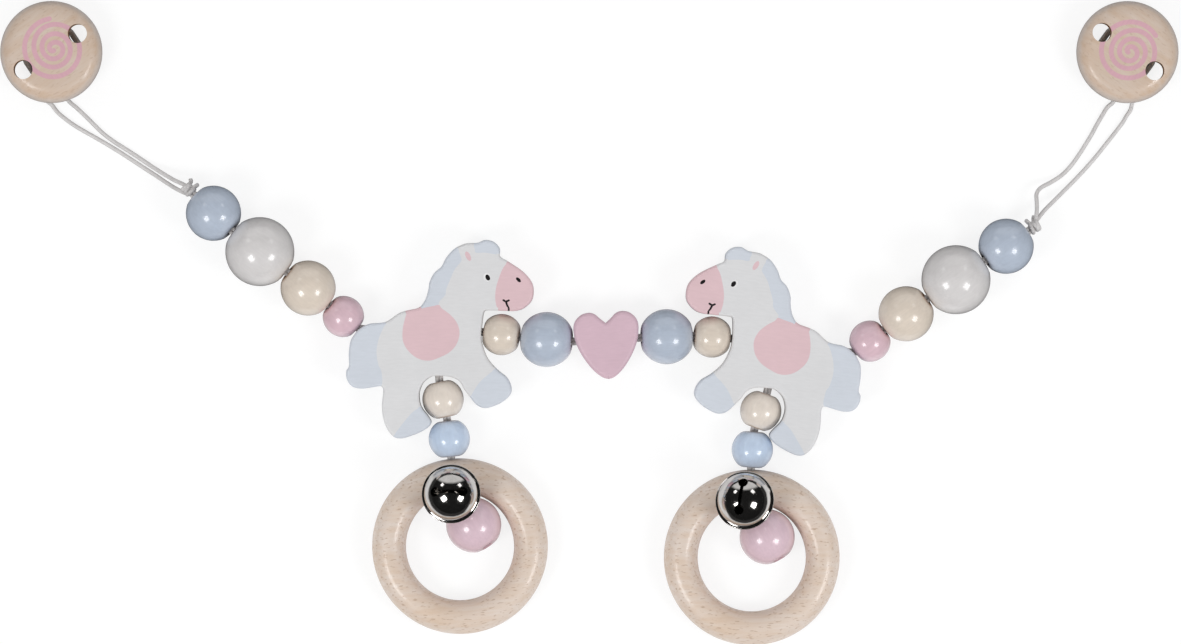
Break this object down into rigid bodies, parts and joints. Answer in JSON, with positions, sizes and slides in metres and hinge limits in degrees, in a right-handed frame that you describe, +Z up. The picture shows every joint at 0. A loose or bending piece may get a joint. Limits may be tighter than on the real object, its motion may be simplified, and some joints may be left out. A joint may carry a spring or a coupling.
{
  "type": "pram chain toy",
  "caption": "Pram chain: wooden beads, a heart and two painted horses on a doubled cord, each horse with a bell and ring pendant, and a wooden clip at each end.",
  "frame": {"origin": "middle of the box of the chain without its end cords, on the table that it lies on", "axes": "+X along the chain to the picture's right, +Y up the picture towards the clips, +Z up from the table"},
  "size_m": [0.4272, 0.2336, 0.0346],
  "materials": {
    "heart": "satin paint, dusty pink",
    "horse": "white satin paint with pink saddle and muzzle, and pale blue mane, tail and hooves",
    "blue": "satin lacquer, pale grey blue",
    "cream": "satin lacquer, cream",
    "pink": "satin lacquer, pale pink",
    "white": "satin lacquer, off-white",
    "beech": "bare beech, finely sanded",
    "cord": "doubled round polyester cord, milky white",
    "nickel": "polished nickel plate",
    "steel": "nickel-plated steel"
  },
  "bodies": {
    "heart_cord": {"heart_cord": "cord"},
    "heart": {"heart": "heart"},
    "left_blue_inner_cord": {"left_blue_inner_cord": "cord"},
    "left_blue_inner_bead": {"left_blue_inner_bead": "blue"},
    "left_cream_small_cord": {"left_cream_small_cord": "cord"},
    "left_cream_small_bead": {"left_cream_small_bead": "cream"},
    "left_horse_cord": {"left_horse_cord": "cord"},
    "left_horse": {"left_horse": "horse"},
    "left_pendant_cord_upper": {"left_pendant_cord_upper": "cord"},
    "left_pendant_cream_bead": {"left_pendant_cream_bead": "cream"},
    "left_pendant_cord_lower": {"left_pendant_cord_lower": "cord"},
    "left_pendant_blue_bead": {"left_pendant_blue_bead": "blue"},
    "left_ring_cord": {"left_ring_cord": "cord"},
    "left_ring": {"left_ring": "beech"},
    "left_pendant_pink_bead": {"left_pendant_pink_bead": "pink"},
    "left_bell_cup": {"left_bell_cup": "nickel", "left_bell_dome": "nickel"},
    "left_bell_ball": {"left_bell_ball": "steel"},
    "left_pink_cord": {"left_pink_cord": "cord"},
    "left_pink_bead": {"left_pink_bead": "pink"},
    "left_cream_cord": {"left_cream_cord": "cord"},
    "left_cream_bead": {"left_cream_bead": "cream"},
    "left_white_cord": {"left_white_cord": "cord"},
    "left_white_bead": {"left_white_bead": "white"},
    "left_blue_outer_cord": {"left_blue_outer_cord": "cord"},
    "left_blue_outer_bead": {"left_blue_outer_bead": "blue"},
    "left_end_cord": {"left_end_cord": "cord"},
    "left_clip_wire": {"left_clip_wire": "steel"},
    "left_clip_plate": {"left_clip_plate": "steel", "left_clip_disc": "beech"},
    "left_clip_lever": {"left_clip_lever": "steel"},
    "right_blue_inner_cord": {"right_blue_inner_cord": "cord"},
    "right_blue_inner_bead": {"right_blue_inner_bead": "blue"},
    "right_cream_small_cord": {"right_cream_small_cord": "cord"},
    "right_cream_small_bead": {"right_cream_small_bead": "cream"},
    "right_horse_cord": {"right_horse_cord": "cord"},
    "right_horse": {"right_horse": "horse"},
    "right_pendant_cord_upper": {"right_pendant_cord_upper": "cord"},
    "right_pendant_cream_bead": {"right_pendant_cream_bead": "cream"},
    "right_pendant_cord_lower": {"right_pendant_cord_lower": "cord"},
    "right_pendant_blue_bead": {"right_pendant_blue_bead": "blue"},
    "right_ring_cord": {"right_ring_cord": "cord"},
    "right_ring": {"right_ring": "beech"},
    "right_pendant_pink_bead": {"right_pendant_pink_bead": "pink"},
    "right_bell_cup": {"right_bell_cup": "nickel", "right_bell_dome": "nickel"},
    "right_bell_ball": {"right_bell_ball": "steel"},
    "right_pink_cord": {"right_pink_cord": "cord"},
    "right_pink_bead": {"right_pink_bead": "pink"},
    "right_cream_cord": {"right_cream_cord": "cord"},
    "right_cream_bead": {"right_cream_bead": "cream"},
    "right_white_cord": {"right_white_cord": "cord"},
    "right_white_bead": {"right_white_bead": "white"},
    "right_blue_outer_cord": {"right_blue_outer_cord": "cord"},
    "right_blue_outer_bead": {"right_blue_outer_bead": "blue"},
    "right_end_cord": {"right_end_cord": "cord"},
    "right_clip_wire": {"right_clip_wire": "steel"},
    "right_clip_plate": {"right_clip_plate": "steel", "right_clip_disc": "beech"},
    "right_clip_lever": {"right_clip_lever": "steel"}
  },
  "joints": [
    {"name": "heart_spin", "type": "hinge", "parent": "heart_cord", "child": "heart", "pos_m": [0.00628, -0.00595, 0.01103], "axis": [0.9983, 0.0576, 0], "continuous": true},
    {"name": "left_blue_inner_bend", "type": "hinge", "parent": "heart_cord", "child": "left_blue_inner_cord", "pos_m": [-0.00588, -0.00665, 0.01103], "axis": [0, 0, 1], "range_deg": [-3, 19]},
    {"name": "left_blue_inner_spin", "type": "hinge", "parent": "left_blue_inner_cord", "child": "left_blue_inner_bead", "pos_m": [-0.01546, -0.00588, 0.01], "axis": [-0.9911, 0.0797, -0.1065], "continuous": true},
    {"name": "left_cream_small_bend", "type": "hinge", "parent": "left_blue_inner_cord", "child": "left_cream_small_cord", "pos_m": [-0.02503, -0.00511, 0.00897], "axis": [0, 0, 1], "range_deg": [-8.2, 15.8]},
    {"name": "left_cream_small_spin", "type": "hinge", "parent": "left_cream_small_cord", "child": "left_cream_small_bead", "pos_m": [-0.03182, -0.00411, 0.00824], "axis": [-0.9836, 0.1453, -0.1065], "continuous": true},
    {"name": "left_horse_bend", "type": "hinge", "parent": "left_cream_small_cord", "child": "left_horse_cord", "pos_m": [-0.03861, -0.00311, 0.0075], "axis": [0, 0, 1], "range_deg": [-7, 1.5]},
    {"name": "left_horse_rock", "type": "hinge", "parent": "left_horse_cord", "child": "left_horse", "pos_m": [-0.06132, -0.00257, 0.0075], "axis": [-0.9997, 0.0237, 0], "range_deg": [-30, 9]},
    {"name": "left_pendant_swing", "type": "hinge", "parent": "left_horse", "child": "left_pendant_cord_upper", "pos_m": [-0.05447, -0.02087, 0.0075], "axis": [1, 0, 0], "range_deg": [-15, 15]},
    {"name": "left_pendant_cream_spin", "type": "hinge", "parent": "left_pendant_cord_upper", "child": "left_pendant_cream_bead", "pos_m": [-0.05304, -0.02762, 0.0075], "axis": [0.2079, -0.9781, 0], "continuous": true},
    {"name": "left_pendant_bend", "type": "hinge", "parent": "left_pendant_cord_upper", "child": "left_pendant_cord_lower", "pos_m": [-0.05153, -0.03471, 0.0075], "axis": [0, 0, 1], "range_deg": [-7, 28]},
    {"name": "left_pendant_blue_spin", "type": "hinge", "parent": "left_pendant_cord_lower", "child": "left_pendant_blue_bead", "pos_m": [-0.05077, -0.04192, 0.0075], "axis": [0.1045, -0.9945, 0], "continuous": true},
    {"name": "left_ring_bend", "type": "hinge", "parent": "left_pendant_cord_lower", "child": "left_ring_cord", "pos_m": [-0.05005, -0.04879, 0.0075], "axis": [0, 0, 1], "range_deg": [-11.6, 12.4]},
    {"name": "left_ring_twist", "type": "hinge", "parent": "left_ring_cord", "child": "left_ring", "pos_m": [-0.04691, -0.08088, 0.00675], "axis": [0.0976, -0.995, -0.0233], "range_deg": [-15, 15]},
    {"name": "left_pendant_pink_spin", "type": "hinge", "parent": "left_ring_cord", "child": "left_pendant_pink_bead", "pos_m": [-0.0419, -0.07311, 0.01], "axis": [0.543, -0.825, 0.1564], "continuous": true},
    {"name": "left_bell_swing", "type": "hinge", "parent": "left_ring_cord", "child": "left_bell_cup", "pos_m": [-0.04814, -0.06362, 0.00765], "axis": [0.4179, -0.8965, 0.1471], "range_deg": [-20, 20]},
    {"name": "left_ball_slide", "type": "slide", "parent": "left_bell_cup", "child": "left_bell_ball", "axis": [-0.095, 0.1179, 0.9885], "range_m": [0, 0.0125]},
    {"name": "left_pink_bend", "type": "hinge", "parent": "left_horse_cord", "child": "left_pink_cord", "pos_m": [-0.08403, -0.00203, 0.0075], "axis": [0, 0, 1], "range_deg": [-12, 11]},
    {"name": "left_pink_spin", "type": "hinge", "parent": "left_pink_cord", "child": "left_pink_bead", "pos_m": [-0.08918, 0.00246, 0.00854], "axis": [-0.7449, 0.6498, 0.1509], "continuous": true},
    {"name": "left_cream_bend", "type": "hinge", "parent": "left_pink_cord", "child": "left_cream_cord", "pos_m": [-0.09432, 0.00694, 0.00958], "axis": [0, 0, 1], "range_deg": [-15.5, 10]},
    {"name": "left_cream_spin", "type": "hinge", "parent": "left_cream_cord", "child": "left_cream_bead", "pos_m": [-0.10188, 0.01277, 0.01104], "axis": [-0.7832, 0.6032, 0.1509], "continuous": true},
    {"name": "left_white_bend", "type": "hinge", "parent": "left_cream_cord", "child": "left_white_cord", "pos_m": [-0.10945, 0.0186, 0.0125], "axis": [0, 0, 1], "range_deg": [-12, 11]},
    {"name": "left_white_spin", "type": "hinge", "parent": "left_white_cord", "child": "left_white_bead", "pos_m": [-0.1193, 0.02597, 0.0125], "axis": [-0.8007, 0.599, 0], "continuous": true},
    {"name": "left_blue_outer_bend", "type": "hinge", "parent": "left_white_cord", "child": "left_blue_outer_cord", "pos_m": [-0.12916, 0.03334, 0.0125], "axis": [0, 0, 1], "range_deg": [-5, 18]},
    {"name": "left_blue_outer_spin", "type": "hinge", "parent": "left_blue_outer_cord", "child": "left_blue_outer_bead", "pos_m": [-0.13616, 0.03987, 0.01125], "axis": [-0.7252, 0.6763, -0.1294], "continuous": true},
    {"name": "left_end_bend", "type": "hinge", "parent": "left_blue_outer_cord", "child": "left_end_cord", "pos_m": [-0.14317, 0.0464, 0.01], "axis": [0, 0, 1], "range_deg": [-12, 12]},
    {"name": "left_wire_swing", "type": "hinge", "parent": "left_end_cord", "child": "left_clip_wire", "pos_m": [-0.19645, 0.08285, 0.0032], "axis": [0.5534, -0.8329, 0], "range_deg": [-3, 45]},
    {"name": "left_plate_hinge", "type": "hinge", "parent": "left_clip_wire", "child": "left_clip_plate", "pos_m": [-0.19733, 0.10171, 0.0032], "axis": [-0.8329, -0.5534, 0], "range_deg": [0, 70]},
    {"name": "left_lever_hinge", "type": "hinge", "parent": "left_clip_plate", "child": "left_clip_lever", "pos_m": [-0.19733, 0.10171, 0.0032], "axis": [0.8329, 0.5534, 0], "range_deg": [0, 80]},
    {"name": "right_blue_inner_bend", "type": "hinge", "parent": "heart_cord", "child": "right_blue_inner_cord", "pos_m": [0.01845, -0.00525, 0.01103], "axis": [0, 0, 1], "range_deg": [-11, 13]},
    {"name": "right_blue_inner_spin", "type": "hinge", "parent": "right_blue_inner_cord", "child": "right_blue_inner_bead", "pos_m": [0.02805, -0.00486, 0.01], "axis": [0.9935, 0.0399, -0.1065], "continuous": true},
    {"name": "right_cream_small_bend", "type": "hinge", "parent": "right_blue_inner_cord", "child": "right_cream_small_cord", "pos_m": [0.03765, -0.00448, 0.00897], "axis": [0, 0, 1], "range_deg": [-5.4, 18.6]},
    {"name": "right_cream_small_spin", "type": "hinge", "parent": "right_cream_small_cord", "child": "right_cream_small_bead", "pos_m": [0.04449, -0.00499, 0.00824], "axis": [0.9915, -0.0746, -0.1065], "continuous": true},
    {"name": "right_horse_bend", "type": "hinge", "parent": "right_cream_small_cord", "child": "right_horse_cord", "pos_m": [0.05133, -0.00551, 0.0075], "axis": [0, 0, 1], "range_deg": [-6, 2.5]},
    {"name": "right_horse_rock", "type": "hinge", "parent": "right_horse_cord", "child": "right_horse", "pos_m": [0.0739, -0.00813, 0.0075], "axis": [0.9933, -0.1156, 0], "range_deg": [-11, 30]},
    {"name": "right_pendant_swing", "type": "hinge", "parent": "right_horse", "child": "right_pendant_cord_upper", "pos_m": [0.06457, -0.0253, 0.0075], "axis": [0.9903, -0.1392, 0], "range_deg": [-10, 10]},
    {"name": "right_pendant_cream_spin", "type": "hinge", "parent": "right_pendant_cord_upper", "child": "right_pendant_cream_bead", "pos_m": [0.06221, -0.03179, 0.0075], "axis": [-0.342, -0.9397, 0], "continuous": true},
    {"name": "right_pendant_bend", "type": "hinge", "parent": "right_pendant_cord_upper", "child": "right_pendant_cord_lower", "pos_m": [0.05973, -0.0386, 0.0075], "axis": [0, 0, 1], "range_deg": [-36, 1]},
    {"name": "right_pendant_blue_spin", "type": "hinge", "parent": "right_pendant_cord_lower", "child": "right_pendant_blue_bead", "pos_m": [0.05916, -0.04583, 0.0075], "axis": [-0.0785, -0.9969, 0], "continuous": true},
    {"name": "right_ring_bend", "type": "hinge", "parent": "right_pendant_cord_lower", "child": "right_ring_cord", "pos_m": [0.05862, -0.05271, 0.0075], "axis": [0, 0, 1], "range_deg": [-17.1, 6.9]},
    {"name": "right_ring_twist", "type": "hinge", "parent": "right_ring_cord", "child": "right_ring", "pos_m": [0.05896, -0.08495, 0.00675], "axis": [0.0105, -0.9997, -0.0233], "range_deg": [-15, 15]},
    {"name": "right_pendant_pink_spin", "type": "hinge", "parent": "right_ring_cord", "child": "right_pendant_pink_bead", "pos_m": [0.06448, -0.0774, 0.01], "axis": [0.4686, -0.8695, 0.1564], "continuous": true},
    {"name": "right_bell_swing", "type": "hinge", "parent": "right_ring_cord", "child": "right_bell_cup", "pos_m": [0.05923, -0.06765, 0.00765], "axis": [0.3196, -0.9107, 0.2618], "range_deg": [-20, 20]},
    {"name": "right_ball_slide", "type": "slide", "parent": "right_bell_cup", "child": "right_bell_ball", "axis": [-0.1802, 0.2128, 0.9603], "range_m": [0, 0.0125]},
    {"name": "right_pink_bend", "type": "hinge", "parent": "right_horse_cord", "child": "right_pink_cord", "pos_m": [0.09647, -0.01076, 0.0075], "axis": [0, 0, 1], "range_deg": [-12, 10]},
    {"name": "right_pink_spin", "type": "hinge", "parent": "right_pink_cord", "child": "right_pink_bead", "pos_m": [0.10178, -0.00648, 0.00854], "axis": [0.7693, 0.6208, 0.1509], "continuous": true},
    {"name": "right_cream_bend", "type": "hinge", "parent": "right_pink_cord", "child": "right_cream_cord", "pos_m": [0.10709, -0.00219, 0.00958], "axis": [0, 0, 1], "range_deg": [-9, 14.5]},
    {"name": "right_cream_spin", "type": "hinge", "parent": "right_cream_cord", "child": "right_cream_bead", "pos_m": [0.1148, 0.00344, 0.01104], "axis": [0.7987, 0.5824, 0.1509], "continuous": true},
    {"name": "right_white_bend", "type": "hinge", "parent": "right_cream_cord", "child": "right_white_cord", "pos_m": [0.12252, 0.00906, 0.0125], "axis": [0, 0, 1], "range_deg": [-9, 14]},
    {"name": "right_white_spin", "type": "hinge", "parent": "right_white_cord", "child": "right_white_bead", "pos_m": [0.13281, 0.0158, 0.0125], "axis": [0.8368, 0.5476, 0], "continuous": true},
    {"name": "right_blue_outer_bend", "type": "hinge", "parent": "right_white_cord", "child": "right_blue_outer_cord", "pos_m": [0.14311, 0.02254, 0.0125], "axis": [0, 0, 1], "range_deg": [-12, 11]},
    {"name": "right_blue_outer_spin", "type": "hinge", "parent": "right_blue_outer_cord", "child": "right_blue_outer_bead", "pos_m": [0.15103, 0.02792, 0.01125], "axis": [0.8201, 0.5574, -0.1294], "continuous": true},
    {"name": "right_end_bend", "type": "hinge", "parent": "right_blue_outer_cord", "child": "right_end_cord", "pos_m": [0.15896, 0.03331, 0.01], "axis": [0, 0, 1], "range_deg": [-12, 12]},
    {"name": "right_wire_swing", "type": "hinge", "parent": "right_end_cord", "child": "right_clip_wire", "pos_m": [0.19586, 0.08277, 0.0032], "axis": [0.5878, 0.809, 0], "range_deg": [-3, 45]},
    {"name": "right_plate_hinge", "type": "hinge", "parent": "right_clip_wire", "child": "right_clip_plate", "pos_m": [0.19754, 0.10158, 0.0032], "axis": [-0.809, 0.5878, 0], "range_deg": [0, 70]},
    {"name": "right_lever_hinge", "type": "hinge", "parent": "right_clip_plate", "child": "right_clip_lever", "pos_m": [0.19754, 0.10158, 0.0032], "axis": [0.809, -0.5878, 0], "range_deg": [0, 80]}
  ]
}
